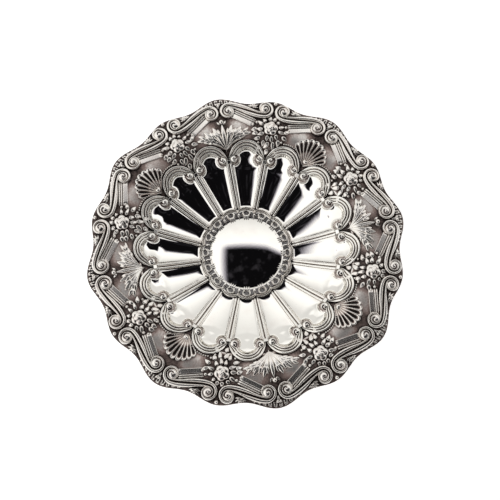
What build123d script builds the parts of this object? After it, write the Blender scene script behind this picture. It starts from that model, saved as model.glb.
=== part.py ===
from build123d import *
import math
import os

# An offering plate in silver: a shallow dish with hollow flutes round a domed boss, its ornament laid on top.
# Millimetres, +Z up. The origin is on the table under the middle of the dish, with a leaf lobe on each axis.

# How the plate divides round its rim
lobes = 8
flutes = 2 * lobes
flute_pitch = 360 / flutes
lobe_pitch = 360 / lobes
half_flute = math.radians(flute_pitch / 2)

# The dish section, from the middle outwards
sheet = 1.2
floor_height = 7.5
floor_radius = 46.8
wall_run = 53.7
wall_rise = 21.0
wall_start_slope = 14.0
shoulder_run = 20.0
border_run = 27.6
border_droop = 11.0

# The waved edge: big lobes over the leaves and shells, small ones over the roses
lobe_wave = 3.0
lobe_difference = 1.45
edge_wire_width = 2.2
edge_wire_height = 1.6

# The foot under the floor
foot_radius = 41.0
foot_flare = 3.0
foot_thickness = 1.6
foot_base = 3.2

# The boss and its scalloped collar
boss_radius = 35.2
boss_rise = 5.6
collar_lobe_radius = 12.0
collar_thickness = 1.5

# Flutes, the ribs between them and the arches over them
flute_start_width = 13.0
flute_start_depth = 1.3
flute_end_width = 25.4
flute_end_depth = 3.6
rib_foot_width = 5.0
rib_head_width = 6.2
rib_height = 1.8
arch_band = 7.2
arch_height = 2.0
arch_volute_radius = 4.1
arch_volute_inset = 4.9

# The scrolls along the edge and the straps inside them
scroll_band = 8.2
scroll_eye_band = 2.6
scroll_height = 3.2
coil_start_radius = 6.9
coil_eye_radius = 3.0
coil_turn = 400
coil_start_angle = 72
coil_reach_share = 0.36
bend_steps = 24
coil_steps = 120
outline_step = 6
layout_rounds = 12
lobe_strip = 8.6
edge_strip = 0.9
strap_width = 5.6
strap_length = 24.0
strap_height = 1.2

# Shells, leaves and roses on the border
shell_root_width = 6.8
shell_rays = 9
shell_tip_radius = 2.1
shell_shoulder_drop = 0.24
shell_shoulder_curve = 1.5
shell_height = 2.2
shell_setback = 21.2
leaf_root_width = 9.0
leaf_blades = 7
leaf_blade_width = 4.6
leaf_side_drop = 0.2
leaf_height = 2.0
leaf_setback = 26.0
rose_petals = 6
rose_radius = 7.2
rose_height = 2.2
rose_heart_radius = 2.8
rose_heart_height = 3.2
rose_setback = 27.3
spray_leaves = 10
spray_leaf_width = 4.8
spray_ring = 1.3
spray_height = 1.0
bead_radius = 1.9
bead_height = 2.2
bead_setback = 2.5
fleuron_size = 1.5
fleuron_spread = 1.35
fleuron_half_width = 2.85
fleuron_length = 3.9
fleuron_height = 1.6
fleuron_setback = 6.2

# Clearances
gap = 0.3
mirror_gap = 0.5
spray_gap = 0.8
edge_spare = 1.0

# Worked out from the above
wall_end_radius = floor_radius + wall_run
rim_radius = wall_end_radius + shoulder_run + border_run
collar_reach = floor_radius - gap
collar_lobe_centre = collar_reach - collar_lobe_radius
arch_apex_radius = wall_end_radius + arch_band
arch_outer = (arch_apex_radius * math.sin(half_flute) - gap) / (1 + math.sin(half_flute))
arch_inner = arch_outer - arch_band
arch_centre = arch_apex_radius - arch_outer
wall_end_slope = 2 * math.degrees(math.atan2(wall_rise, wall_run)) - wall_start_slope
border_reach = border_run + lobe_wave + lobe_difference + edge_spare


def arc_point(start, slope_from, slope_to, run, slope):
    """The point with a slope on the arc that turns from one slope to another over a run."""
    bend = run / (math.sin(math.radians(slope_to)) - math.sin(math.radians(slope_from)))
    a, b = math.radians(slope_from), math.radians(slope)
    return start[0] + bend * (math.sin(b) - math.sin(a)), start[1] + bend * (math.cos(a) - math.cos(b))


def arc_run(start, slope_from, slope_to, run):
    """The middle and the end of that arc."""
    middle = arc_point(start, slope_from, slope_to, run, (slope_from + slope_to) / 2)
    return middle, arc_point(start, slope_from, slope_to, run, slope_to)


floor_edge = (floor_radius, floor_height)
wall_middle, wall_end = arc_run(floor_edge, wall_start_slope, wall_end_slope, wall_run)
shoulder_middle, crest = arc_run(wall_end, wall_end_slope, 0, shoulder_run)
border_middle, border_end = arc_run(crest, 0, -border_droop, border_reach)


def wall_point(distance):
    """The point on the wall this far out from the floor's edge."""
    low, high = math.sin(math.radians(wall_start_slope)), math.sin(math.radians(wall_end_slope))
    slope = math.degrees(math.asin(low + (high - low) * distance / wall_run))
    return arc_point(floor_edge, wall_start_slope, wall_end_slope, wall_run, slope)


def section_line(lift):
    """The upper line of the dish section, raised by lift, from the middle to past the edge."""

    def at(point):
        return point[0], 0, point[1] + lift

    return [
        Line(at((0, floor_height)), at(floor_edge)),
        ThreePointArc(at(floor_edge), at(wall_middle), at(wall_end)),
        ThreePointArc(at(wall_end), at(shoulder_middle), at(crest)),
        ThreePointArc(at(crest), at(border_middle), at(border_end)),
    ]


def layer(low, high):
    """The round layer between two heights over the upper line of the dish."""
    lower, upper = section_line(low), section_line(high)
    sides = [Line(lower[0] @ 0, upper[0] @ 0), Line(lower[-1] @ 1, upper[-1] @ 1)]
    return revolve(make_face(Wire(lower + upper + sides)), Axis.Z)


def under_layer(depth):
    """Everything below the upper line of the dish, down to a depth under the floor."""
    upper = section_line(0)
    inner, outer = upper[0] @ 0, upper[-1] @ 1
    bottom = floor_height - depth
    low_inner, low_outer = Vector(0, 0, bottom), Vector(outer.X, 0, bottom)
    sides = [Line(inner, low_inner), Line(low_inner, low_outer), Line(low_outer, outer)]
    return revolve(make_face(Wire(upper + sides)), Axis.Z)


def laid(face, height):
    """An ornament of this outline that lies on the dish, this thick. Outwards is +Y."""
    return extrude(face, 2 * (crest[1] + height)) & layer(0, height)


def turned(shape, degrees):
    return Rot(0, 0, degrees) * shape


def joined(shapes):
    whole = shapes[0]
    for shape in shapes[1:]:
        whole = whole + shape
    return whole


def edge_radius(angle):
    """The edge's distance from the middle, at an angle in degrees from a leaf or a shell."""
    a = math.radians(angle)
    return rim_radius + lobe_wave * math.cos(flutes * a) + lobe_difference * math.cos(lobes * a)


def edge_outline(inset):
    """The waved outline, a closed curve through each crest and valley and the slopes between them."""
    points = []
    for i in range(4 * flutes):
        angle = i * flute_pitch / 4
        points.append(Vector(0, edge_radius(angle) - inset).rotate(Axis.Z, angle))
    return make_face(Spline(points, periodic=True))


def flute_scoop(grow):
    """The hollow of one flute along +Y, larger by grow all round: a cone with a ball at each end."""
    half_start, half_end = flute_start_width / 2, flute_end_width / 2
    start_ball = (half_start**2 + flute_start_depth**2) / (2 * flute_start_depth)
    end_ball = (half_end**2 + flute_end_depth**2) / (2 * flute_end_depth)
    start_r, start_z = wall_point(half_start)
    end_r, end_z = wall_point(wall_run - half_end)
    start = Vector(0, start_r, start_z + start_ball - flute_start_depth)
    end = Vector(0, end_r, end_z + end_ball - flute_end_depth)
    along = (end - start).normalized()
    down = Vector(0, along.Z, -along.Y)
    low, high = start_ball + grow, end_ball + grow
    root, tip = start - along * low, end + along * high
    outline = Wire(
        [
            ThreePointArc(root, start + (down - along).normalized() * low, start + down * low),
            Line(start + down * low, end + down * high),
            ThreePointArc(end + down * high, end + (down + along).normalized() * high, tip),
            Line(tip, root),
        ]
    )
    return revolve(make_face(outline), Axis(start, along))


def make_dish_body():
    """The raised sheet: floor, fluted wall, shoulder and border."""
    swell = flute_scoop(sheet) & under_layer(floor_height)
    hollow = flute_scoop(0)
    angles = [(i + 0.5) * flute_pitch for i in range(flutes)]
    body = layer(-sheet, 0) + [turned(swell, angle) for angle in angles]
    body = body - [turned(hollow, angle) for angle in angles]
    return body & extrude(edge_outline(0), 3 * crest[1])


def make_edge_wire():
    """The wire that stiffens the waved edge from below."""
    ring = extrude(edge_outline(0) - edge_outline(edge_wire_width), 3 * crest[1])
    return ring & layer(-sheet - edge_wire_height, -sheet)


def make_foot_ring():
    """A flared ring under the floor, thicker where it stands."""
    top, spread = floor_height - sheet, foot_radius + foot_flare
    corners = [(foot_radius - foot_thickness, top), (foot_radius, top), (spread, 0), (spread - foot_base, 0)]
    return revolve(make_face(Polyline([(r, 0, z) for r, z in corners], close=True)), Axis.Z)


def boss_line(radius, rise):
    """A shallow dome's line from its top down to the floor."""
    bend = (radius**2 + rise**2) / (2 * rise)
    half = math.asin(radius / bend) / 2
    middle = (bend * math.sin(half), 0, floor_height + rise - bend * (1 - math.cos(half)))
    return ThreePointArc((0, 0, floor_height + rise), middle, (radius, 0, floor_height))


def make_boss():
    """The domed middle, a thin shell that stands on the floor."""
    outer, inner = boss_line(boss_radius, boss_rise), boss_line(boss_radius - 2 * sheet, boss_rise - sheet)
    sides = [Line(outer @ 0, inner @ 0), Line(outer @ 1, inner @ 1)]
    return revolve(make_face(Wire([outer, inner] + sides)), Axis.Z)


def make_collar():
    """The scalloped collar round the boss, with one lobe to a flute."""
    lobe = Pos(0, collar_lobe_centre) * Circle(collar_lobe_radius)
    outline = joined([turned(lobe, (i + 0.5) * flute_pitch) for i in range(flutes)])
    outline = outline + Circle(collar_lobe_centre) - Circle(boss_radius + gap)
    return Pos(0, 0, floor_height) * extrude(outline, collar_thickness)


def beside(x, y, angle):
    """A place given on one axis, seen from the axis this many radians clockwise of it."""
    return x * math.cos(angle) - y * math.sin(angle), x * math.sin(angle) + y * math.cos(angle)


def arch_volutes():
    side, out = arch_outer - arch_volute_inset, arch_centre + gap
    return (-side, out), (side, out)


def arch_face():
    """The half ring over the end of a flute, with a round volute at each foot."""
    band = Pos(0, arch_centre) * (Circle(arch_outer) - Circle(arch_inner))
    upper = Pos(0, arch_centre + arch_outer) * Rectangle(2 * arch_outer, 2 * arch_outer)
    left, right = arch_volutes()
    return (band & upper) + Pos(*left) * Circle(arch_volute_radius) + Pos(*right) * Circle(arch_volute_radius)


def rib_face():
    """A rib widens from between two collar lobes to between two arch volutes, and clears them."""
    half_foot, half_head = rib_foot_width / 2, rib_head_width / 2
    lobe_x, lobe_y = beside(0, collar_lobe_centre, -half_flute)
    foot = lobe_y + math.sqrt((collar_lobe_radius + gap) ** 2 - (lobe_x - half_foot) ** 2)
    volute_x, volute_y = beside(*arch_volutes()[0], -half_flute)
    reach = arch_volute_radius + gap
    head = volute_y - math.sqrt(max(reach**2 - (volute_x - half_head) ** 2, 0))
    corners = [(-half_foot, foot), (half_foot, foot), (half_head, head), (-half_head, head)]
    return make_face(Polyline(corners, close=True))


def scroll_path(a, b):
    """The middle line of a scroll, from half way between its coils' centres to the eye of coil A.
    A smooth bend leads to the coil, whose radius shrinks evenly from its start to its eye.
    Coil B is the same, turned half round about the middle."""
    start, turn = math.radians(coil_start_angle), math.radians(coil_turn)
    shrink = (coil_start_radius - coil_eye_radius) / turn
    middle = (a + b) / 2
    out = Vector(math.cos(start), math.sin(start)) * coil_start_radius
    entry = a + out
    heading = start + math.pi / 2 + math.atan(shrink / coil_start_radius)
    far_entry = middle * 2 - entry
    pull = Vector(math.cos(heading), math.sin(heading)) * coil_reach_share * (entry - far_entry).length
    path = []
    for i in range(bend_steps):
        t = 0.5 + 0.5 * i / bend_steps
        place = far_entry * (1 - t) ** 3 + (far_entry + pull) * 3 * t * (1 - t) ** 2
        path.append(place + (entry - pull) * 3 * t * t * (1 - t) + entry * t**3)
    for i in range(coil_steps + 1):
        angle = start + turn * i / coil_steps
        radius = coil_start_radius - shrink * (angle - start)
        path.append(a + Vector(math.cos(angle), math.sin(angle)) * radius)
    return path


def with_widths(path):
    """Each place on the path with its direction and the band's width, which shrinks evenly along it."""
    along = [0.0]
    for p, q in zip(path, path[1:]):
        along.append(along[-1] + (q - p).length)
    marked = []
    for i, place in enumerate(path):
        ahead, behind = path[min(i + 1, len(path) - 1)], path[max(i - 1, 0)]
        width = scroll_band - (scroll_band - scroll_eye_band) * along[i] / along[-1]
        marked.append((place, (ahead - behind).normalized(), width))
    return marked


def coil_extent(marked, centre, direction):
    """How far the band reaches from a coil's centre in one direction."""
    return max((place - centre).dot(direction) + width / 2 for place, _, width in marked[bend_steps:])


def scroll_layout():
    """Both coils' centres and the marked path, for the scroll clockwise of its lobe's axis.
    Each coil clears its mirrored twin and keeps its set distance from the edge."""
    a = Vector(scroll_band, rim_radius - scroll_band)
    b = Vector(rim_radius / 3, rim_radius - 2 * scroll_band)
    half_lobe = math.radians(lobe_pitch / 2)
    for _ in range(layout_rounds):
        marked = with_widths(scroll_path(a, b))
        side = coil_extent(marked, a, Vector(-1, 0)) + mirror_gap
        inner = edge_radius(0) - lobe_strip - coil_start_radius
        a = Vector(side, math.sqrt(inner**2 - side**2))
        side = coil_extent(marked, a, Vector(-math.cos(half_lobe), math.sin(half_lobe))) + mirror_gap
        out = coil_extent(marked, a, Vector(-math.sin(half_lobe), -math.cos(half_lobe)))
        turn = half_lobe - math.asin(side / b.length)
        outer = edge_radius(math.degrees(turn)) - edge_strip - out
        b = Vector(outer * math.sin(turn), outer * math.cos(turn))
    return a, b, marked


def room_round(place):
    """The distance from a place to the scroll clockwise of its lobe's axis."""
    a, b, marked = scroll_layout()
    return min((q - place).length - width / 2 for p, _, width in marked for q in (p, a + b - p))


def scroll_face(grow=0.0):
    """The S scroll's outline, larger by grow: a tapering band that bends round a disc at each end."""
    a, b, marked = scroll_layout()
    half_coil = bend_steps + coil_steps // 2
    drawn = marked[0:bend_steps:outline_step] + marked[bend_steps:half_coil:outline_step]
    left, right = [], []
    for place, along, width in drawn:
        across = Vector(-along.Y, along.X) * (width / 2 + grow)
        left.append(place + across)
        right.append(place - across)
    one_side = [a + b - p for p in reversed(right)] + left[1:]
    other_side = [a + b - p for p in reversed(left)] + right[1:]
    ends = [Line(one_side[-1], other_side[-1]), Line(other_side[0], one_side[0])]
    band = make_face(Wire([Spline(one_side), ends[0], Spline(other_side), ends[1]]))
    disc = Circle(coil_extent(marked, a, Vector(0, -1)) - scroll_eye_band / 2 + grow)
    return band + Pos(a.X, a.Y) * disc + Pos(b.X, b.Y) * disc


def strap_face():
    """The moulded strap along the inner side of a scroll, cut back to clear it."""
    _, _, marked = scroll_layout()
    middle, along, width = marked[0]
    centre = middle + Vector(-along.Y, along.X) * (width / 2 + gap + strap_width / 2)
    tilt = math.degrees(math.atan2(along.Y, along.X))
    strap = Pos(centre.X, centre.Y) * Rot(0, 0, tilt) * Rectangle(strap_length, strap_width)
    return strap - scroll_face(gap)


def fan_root(root_width):
    """How far out a fan of rays starts: where the V between two arches is as wide as its root."""
    side, out = beside(0, arch_centre, half_flute)
    return out + math.sqrt(arch_outer**2 - (abs(side) - root_width / 2) ** 2)


def fan_lean(root, half_width):
    """How far the last ray of a fan leans over, in degrees, when it just clears the arch beside it."""
    side, out = beside(0, arch_centre, half_flute)
    away, drop = abs(side), root - out
    clear = math.asin((arch_outer + gap + half_width) / math.hypot(away, drop))
    return 90 + math.degrees(math.atan2(drop, away) - clear)


def shell_face():
    """A fan of rays with round tips, standing in the V between two arches."""
    root = fan_root(shell_root_width)
    reach = rim_radius - shell_setback - shell_tip_radius - root
    lean = fan_lean(root, shell_tip_radius / 2)
    rays = []
    for i in range(shell_rays):
        share = 2 * i / (shell_rays - 1) - 1
        length = reach * (1 - shell_shoulder_drop * abs(share) ** shell_shoulder_curve)
        corners = [(0, 0), (shell_tip_radius, length), (-shell_tip_radius, length)]
        ray = make_face(Polyline(corners, close=True)) + Pos(0, length) * Circle(shell_tip_radius)
        rays.append(Pos(0, root) * Rot(0, 0, -lean * share) * ray)
    return joined(rays) + Pos(0, root) * Circle(shell_tip_radius)


def leaf_face():
    """An acanthus leaf: pointed blades fanned out from the V between two arches."""
    root = fan_root(leaf_root_width)
    reach = rim_radius - leaf_setback - root
    lean = fan_lean(root, leaf_blade_width / 2)
    blades = []
    for i in range(leaf_blades):
        share = 2 * i / (leaf_blades - 1) - 1
        length = reach * (1 - leaf_side_drop * abs(share))
        blade = Pos(0, length / 2) * Ellipse(leaf_blade_width / 2, length / 2)
        blades.append(Pos(0, root) * Rot(0, 0, -lean * share) * blade)
    return joined(blades) + Pos(0, root + leaf_blade_width / 2) * Circle(leaf_blade_width / 2)


def rose_face():
    """A rose of round petals on the rib between a shell and a leaf."""
    petal = Pos(0, rose_radius / 2) * Circle(rose_radius / 2)
    return joined([Rot(0, 0, 360 * i / rose_petals) * petal for i in range(rose_petals)])


def spray_face():
    """The leaves that stand out round a rose, on a ring that clears it, as far as the scrolls let them."""
    centre = rim_radius - rose_setback
    reach = room_round(Vector(0, centre).rotate(Axis.Z, -lobe_pitch / 2)) - spray_gap
    ring = rose_radius + gap
    leaf = Pos(0, (reach + ring) / 2) * Ellipse(spray_leaf_width / 2, (reach - ring) / 2 + spray_ring / 2)
    leaves = joined([Rot(0, 0, 360 * (i + 0.5) / spray_leaves) * leaf for i in range(spray_leaves)])
    return leaves + Circle(ring + spray_ring) - Circle(ring)


def fleuron_face():
    """A small heart that points inwards, between two volutes."""
    lobe = Circle(fleuron_size)
    corners = [(-fleuron_half_width, 0), (fleuron_half_width, 0), (0, -fleuron_length)]
    point = make_face(Polyline(corners, close=True))
    return Pos(-fleuron_spread, 0) * lobe + Pos(fleuron_spread, 0) * lobe + point


def write(name, shape):
    solids = shape.solids()
    export_step(solids[0] if len(solids) == 1 else Compound(children=list(solids)), f"parts/{name}.step")


def write_ring(name, shapes, pitch, first=0.0):
    """A group of equal pieces round the plate, in one file."""
    solids = [turned(shape, first + i * pitch) for shape in shapes for i in range(round(360 / pitch))]
    write(name, Compound(children=solids))


def main():
    os.makedirs("parts", exist_ok=True)
    write("dish_body", make_dish_body())
    write("edge_wire", make_edge_wire())
    write("foot_ring", make_foot_ring())
    write("centre_boss", make_boss())
    write("boss_collar", make_collar())
    write_ring("flute_ribs", [laid(rib_face(), rib_height)], flute_pitch)

    arch = laid(arch_face(), arch_height)
    for i in range(flutes):
        write(f"flute_arch_{i + 1:02d}", turned(arch, (i + 0.5) * flute_pitch))

    scroll = laid(scroll_face(), scroll_height)
    twin = scroll.mirror(Plane.YZ)
    for i in range(lobes):
        write(f"rim_scroll_{2 * i + 1:02d}", turned(scroll, i * lobe_pitch))
        write(f"rim_scroll_{2 * i + 2:02d}", turned(twin, i * lobe_pitch))
    strap = laid(strap_face(), strap_height)
    write_ring("rim_straps", [strap, strap.mirror(Plane.YZ)], lobe_pitch)

    rose_place = Pos(0, rim_radius - rose_setback)
    rose = laid(rose_place * rose_face(), rose_height)
    rose = rose + laid(rose_place * Circle(rose_heart_radius), rose_heart_height)
    spray = laid(rose_place * spray_face(), spray_height)
    for i in range(lobes):
        write(f"rosette_{i + 1}", turned(rose, (i + 0.5) * lobe_pitch))
    write_ring("rosette_leaves", [spray], lobe_pitch, lobe_pitch / 2)

    leaf = laid(leaf_face(), leaf_height)
    shell = laid(shell_face(), shell_height)
    for i in range(lobes // 2):
        write(f"acanthus_{i + 1}", turned(leaf, 2 * i * lobe_pitch))
        write(f"shell_{i + 1}", turned(shell, (2 * i + 1) * lobe_pitch))

    fleuron_place = Pos(0, edge_radius(0) - fleuron_setback)
    write_ring("rim_fleurons", [laid(fleuron_place * fleuron_face(), fleuron_height)], lobe_pitch)
    bead_place = Pos(0, edge_radius(lobe_pitch / 2) - bead_setback)
    bead = laid(bead_place * Circle(bead_radius), bead_height)
    write_ring("rim_beads", [bead], lobe_pitch, lobe_pitch / 2)


main()
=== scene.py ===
import math
import bpy
import mathutils
import numpy as np
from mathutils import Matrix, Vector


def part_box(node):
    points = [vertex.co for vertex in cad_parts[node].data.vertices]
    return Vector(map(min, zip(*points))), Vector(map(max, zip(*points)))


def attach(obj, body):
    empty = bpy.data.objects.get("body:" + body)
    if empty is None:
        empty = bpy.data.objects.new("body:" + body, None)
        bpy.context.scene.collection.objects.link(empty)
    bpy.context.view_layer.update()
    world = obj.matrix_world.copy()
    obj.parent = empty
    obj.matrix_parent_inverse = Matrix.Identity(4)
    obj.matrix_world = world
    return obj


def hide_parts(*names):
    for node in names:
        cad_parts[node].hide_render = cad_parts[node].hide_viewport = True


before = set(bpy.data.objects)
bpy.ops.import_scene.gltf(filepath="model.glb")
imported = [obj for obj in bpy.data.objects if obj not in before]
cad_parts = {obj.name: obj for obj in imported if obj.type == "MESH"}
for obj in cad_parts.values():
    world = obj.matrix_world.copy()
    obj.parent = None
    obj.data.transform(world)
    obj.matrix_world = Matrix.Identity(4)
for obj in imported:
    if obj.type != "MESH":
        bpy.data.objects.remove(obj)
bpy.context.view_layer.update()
mm = 0.001
join = np.concatenate
scene = bpy.context.scene
dice = np.random.default_rng(11)

# everything below is worked out in millimetres and turned to metres when its mesh is made
# each part is (points, quads, tris, patinaAndShade): 0 where silver is rubbed bright, 1 deep in the chasing,
# where it is oxide; round each volute knob on the dish it is a painted shadow

dish = dict(floorHeight=7.5, floorRadius=46.8, wallRun=53.7, wallStartSlope=14.0, wallEndSlope=28.717,
            shoulderRun=20.0, borderReach=36.0, borderDroop=11.9, rimRadius=148.1, lobeWave=3.0,
            lobeDifference=1.45, sheet=1.2, flutes=16, lobes=8)


# the section is three arcs; on each the slope b runs from a:
# r = r0 + bend (sin b - sin a), z = z0 + bend (cos a - cos b)
def sectionTable(steps=200):
    r, z = [np.array([0.0, dish["floorRadius"]])], [np.array([dish["floorHeight"]] * 2)]
    arcs = [(dish["wallRun"], dish["wallStartSlope"], dish["wallEndSlope"]),
            (dish["shoulderRun"], dish["wallEndSlope"], 0.0),
            (dish["borderReach"], 0.0, -dish["borderDroop"])]
    for run, start, end in arcs:
        a, b = math.radians(start), np.radians(np.linspace(start, end, steps))[1:]
        bend = run / (math.sin(math.radians(end)) - math.sin(a))
        rStart, zStart = r[-1][-1], z[-1][-1]
        r.append(rStart + bend * (np.sin(b) - math.sin(a)))
        z.append(zStart + bend * (math.cos(a) - np.cos(b)))
    return join(r), join(z)


sectionR, sectionZ = sectionTable()
halfFlute = math.pi / dish["flutes"]
halfLobe = math.pi / dish["lobes"]

# where the repeats stand, in degrees from the Y axis: on ribs, on flutes, on large and on small lobes
ribTurns = np.arange(dish["flutes"]) * 360 / dish["flutes"]
fluteTurns = ribTurns + 180 / dish["flutes"]
largeLobeTurns = np.arange(dish["lobes"]) * 360 / dish["lobes"]
smallLobeTurns = largeLobeTurns + 180 / dish["lobes"]

# the flutes are shaped round the arches and the ribs, so these two come first
arch = dict(band=7.2, apex=107.7, gap=0.3, volute=4.1, inset=4.9, height=2.0, coilTurn=200, coilWidth=1.5,
            coilShrink=0.35, step=0.3, taper=0.04, knobGap=0.3, knobHeight=3.2, knobTwist=4.4, knobCut=0.22,
            knobStart=2.6)
arch["outer"] = (arch["apex"] * math.sin(halfFlute) - arch["gap"]) / (1 + math.sin(halfFlute))
arch["inner"] = arch["outer"] - arch["band"]
arch["centre"] = arch["apex"] - arch["outer"]
arch["eyeX"], arch["eyeY"] = arch["outer"] - arch["inset"], arch["centre"] + arch["gap"]
rib = dict(foot=45.4, head=87.7, halfFoot=2.5, halfHead=3.1, height=1.7, step=0.2, lowFoot=0.7,
           blockRows=(-0.6, -0.3, 0.3, 2.2, 2.5), blockHalf=2.1, blockHeight=2.3)


# height of the plain dish at a radius
def dishHeight(r):
    return np.interp(r, sectionR, sectionZ)


# the waved edge: R = rim + wave cos 16a + difference cos 8a
def edgeRadius(angle):
    return (dish["rimRadius"] + dish["lobeWave"] * np.cos(dish["flutes"] * angle)
            + dish["lobeDifference"] * np.cos(dish["lobes"] * angle))


# an angle measured from the nearest of so many equal parts of the circle
def nearest(angle, count, shift=0.0):
    return np.arctan2(np.sin(count * angle + shift), np.cos(count * angle + shift)) / count


# from a to b as share goes from 0 to 1
def blend(a, b, share):
    return a + (b - a) * share


# so many angles evenly round the circle
def circle(count):
    return np.linspace(0, 2 * math.pi, count, endpoint=False)


# 0 below the first edge, 1 past the second, smooth between: t t (3 - 2 t)
def ease(low, high, value):
    t = np.clip((value - low) / (high - low), 0, 1)
    return t * t * (3 - 2 * t)


# the larger of two values with a rounded corner of size k between them
def softMax(a, b, k):
    h = np.clip(0.5 + 0.5 * (a - b) / k, 0, 1)
    return b + (a - b) * h + k * h * (1 - h)


# the smaller of two values, rounded in the same way
def softMin(a, b, k):
    return -softMax(-a, -b, k)


# 1 - (1 - d)^2: falls steeply at first and lies flat from d = 1 on
def scoop(d):
    return 1 - (1 - np.clip(d, 0, 1)) ** 2


# reeds across a band, each sqrt(1 - u^2) between its two edges: (low edge, high edge, height)
def reeds(v, rolls):
    total = np.zeros_like(v)
    for low, high, top in rolls:
        u = (v - (low + high) / 2) / ((high - low) / 2)
        total = np.maximum(total, top * np.sqrt(np.clip(1 - u ** 2, 0, 1)))
    return total


# oxide that lies in the hollows of a profile: most - fall profile
def inHollows(profile, most, fall=2.0):
    return np.clip(most - fall * profile, 0, 1)


# corner numbers of a grid's faces, row after row
def gridFaces(rows, cols, wrapRows=False):
    i, j = np.arange(rows if wrapRows else rows - 1), np.arange(cols)
    down, beside = (i + 1) % rows, (j + 1) % cols
    corners = [i[:, None] * cols + j, i[:, None] * cols + beside, down[:, None] * cols + beside,
               down[:, None] * cols + j]
    return np.stack(corners, -1).reshape(-1, 4)


# turns every face the other way if the closed part's volume comes out negative
def outward(part):
    points, quads, tris, patinaAndShade = part
    fans = [tris, quads[:, [0, 1, 2]], quads[:, [0, 2, 3]]]
    a, b, c = (join([points[f[:, k]] for f in fans]) for k in range(3))
    middle = points.mean(0)
    if np.einsum("ij,ij->i", a - middle, np.cross(b - middle, c - middle)).sum() < 0:
        quads, tris = quads[:, ::-1], tris[:, ::-1]
    return points, quads, tris, patinaAndShade


# a grid whose rows are closed rings, shut by a pole at the middle of its first and of its last row
def closedTube(x, y, z, patinaAndShade):
    rows, cols = x.shape
    rings = np.stack([x, y, z], -1)
    poles = np.stack([rings[0].mean(0), rings[-1].mean(0)])
    points = join([rings.reshape(-1, 3), poles])
    shade = join([patinaAndShade.reshape(-1), [patinaAndShade[0].mean(), patinaAndShade[-1].mean()]])
    j = np.arange(cols)
    lastRow = (rows - 1) * cols
    first = np.stack([np.full(cols, rows * cols), (j + 1) % cols, j], -1)
    last = np.stack([np.full(cols, rows * cols + 1), lastRow + j, lastRow + (j + 1) % cols], -1)
    return outward((points, gridFaces(rows, cols), join([first, last]), shade))


# a grid closed both ways
def closedRing(x, y, z, patinaAndShade):
    points = np.stack([x, y, z], -1).reshape(-1, 3)
    return outward((points, gridFaces(*x.shape, wrapRows=True), np.zeros((0, 3), int), patinaAndShade.reshape(-1)))


# x and y of the rows of a band: point = A + v (B - A) for v from 0 to 1
def across(edgeA, edgeB, cols):
    v = np.linspace(0, 1, cols)
    return [blend(edgeA[:, k:k + 1], edgeB[:, k:k + 1], v) for k in (0, 1)]


# adds a first and a last column that repeat the side columns, or hold the given sides
def walled(grid, sides=None):
    first, last = (grid[:, :1], grid[:, -1:]) if sides is None else sides
    return join([first, grid, last], 1)


# a moulded band raised over the dish; its foot goes down into the dish, and it closes underneath
def ribbon(edgeA, edgeB, height, patinaAndShade, lift=0.0, sink=0.6):
    x, y = across(edgeA, edgeB, height.shape[1])
    base = dishHeight(np.hypot(x, y)) + lift
    foot = base - sink
    dark = np.ones((len(height), 1))
    z = walled(base + height, (foot[:, :1], foot[:, -1:]))
    return closedTube(walled(x), walled(y), z, walled(patinaAndShade, (dark, dark)))


# a moulded band whose ends meet, raised over one level
def loopBand(edgeA, edgeB, height, patinaAndShade, base):
    x, y = across(edgeA, edgeB, height.shape[1])
    foot = np.full((len(x), 1), base)
    dark = np.ones_like(foot)
    return closedRing(walled(x), walled(y), walled(base + height, (foot, foot)), walled(patinaAndShade, (dark, dark)))


# a band of a width along a path: its edges stand half the width to each side
# the tiny number keeps a still point from dividing by zero
def sidesOf(path, width):
    along = np.gradient(path, axis=0)
    along /= np.linalg.norm(along, axis=1)[:, None] + 1e-12
    sideways = np.stack([-along[:, 1], along[:, 0]], -1)
    return path + sideways * width[:, None] / 2, path - sideways * width[:, None] / 2


# a round mound: radius = R sin t, height = H (cos t)^0.8, with t from its crown to its foot
# its outline and top wave by lobe = cos(petals (a - phase + twist sin t)), and a twist makes the lobes swirl
# curl cuts a groove where lobe is low, which is a spiral when there is one petal and a twist
# pit is (angle, share of the radius, size) of a small round hole in its side
def mound(x0, y0, radius, height, rows=7, cols=20, petals=0, wave=0.0, lift=0.0, sink=0.5, dark=0.85,
          twist=0.0, phase=0.0, curl=0.0, pit=None):
    t = np.linspace(0.12, 1, rows)[:, None] * math.pi / 2
    a = circle(cols)[None, :]
    lobe = np.cos(petals * (a - phase + twist * np.sin(t))) if petals else np.ones_like(a)
    r = radius * np.sin(t) * (1 + wave * lobe * np.sin(t) ** 2)
    x, y = x0 + r * np.cos(a), y0 + r * np.sin(a)
    base = dishHeight(np.hypot(x0, y0)) + lift
    z = base + height * np.cos(t) ** 0.8 * (1 + 0.35 * wave * lobe * np.sin(2 * t)) + 0 * a
    shade = dark * np.sin(t) ** 4 + 0 * a
    if curl:
        cut = np.clip(-1.8 * lobe - 0.7, 0, 1)
        z, shade = z - curl * height * cut * np.cos(t) ** 0.5, np.maximum(shade, cut)
    elif petals:
        shade = np.maximum(shade, np.clip(-lobe, 0, 1) * np.sin(t) * 0.8)
    if pit:
        angle, share, size = pit
        away = np.hypot(x - x0 - radius * share * math.cos(angle), y - y0 - radius * share * math.sin(angle))
        hole = np.exp(-((away / size) ** 2))
        z, shade = z - hole * height * 0.4, np.maximum(shade, hole * 1.1)
    x, y = join([x, x[-1:]]), join([y, y[-1:]])
    z = join([z, np.full((1, cols), base - sink)])
    return closedTube(x, y, z, join([shade, np.ones((1, cols))]))


# a curved line from a root: its heading is angle + bend t^1.3, in radians
def curve(root, angle, length, bend, t):
    heading = angle + bend * t ** 1.3
    step = np.stack([np.cos(heading), np.sin(heading)], -1) * length / (len(t) - 1)
    return np.array(root) + join([[[0, 0]], np.cumsum((step[1:] + step[:-1]) / 2, axis=0)]), heading


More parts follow.
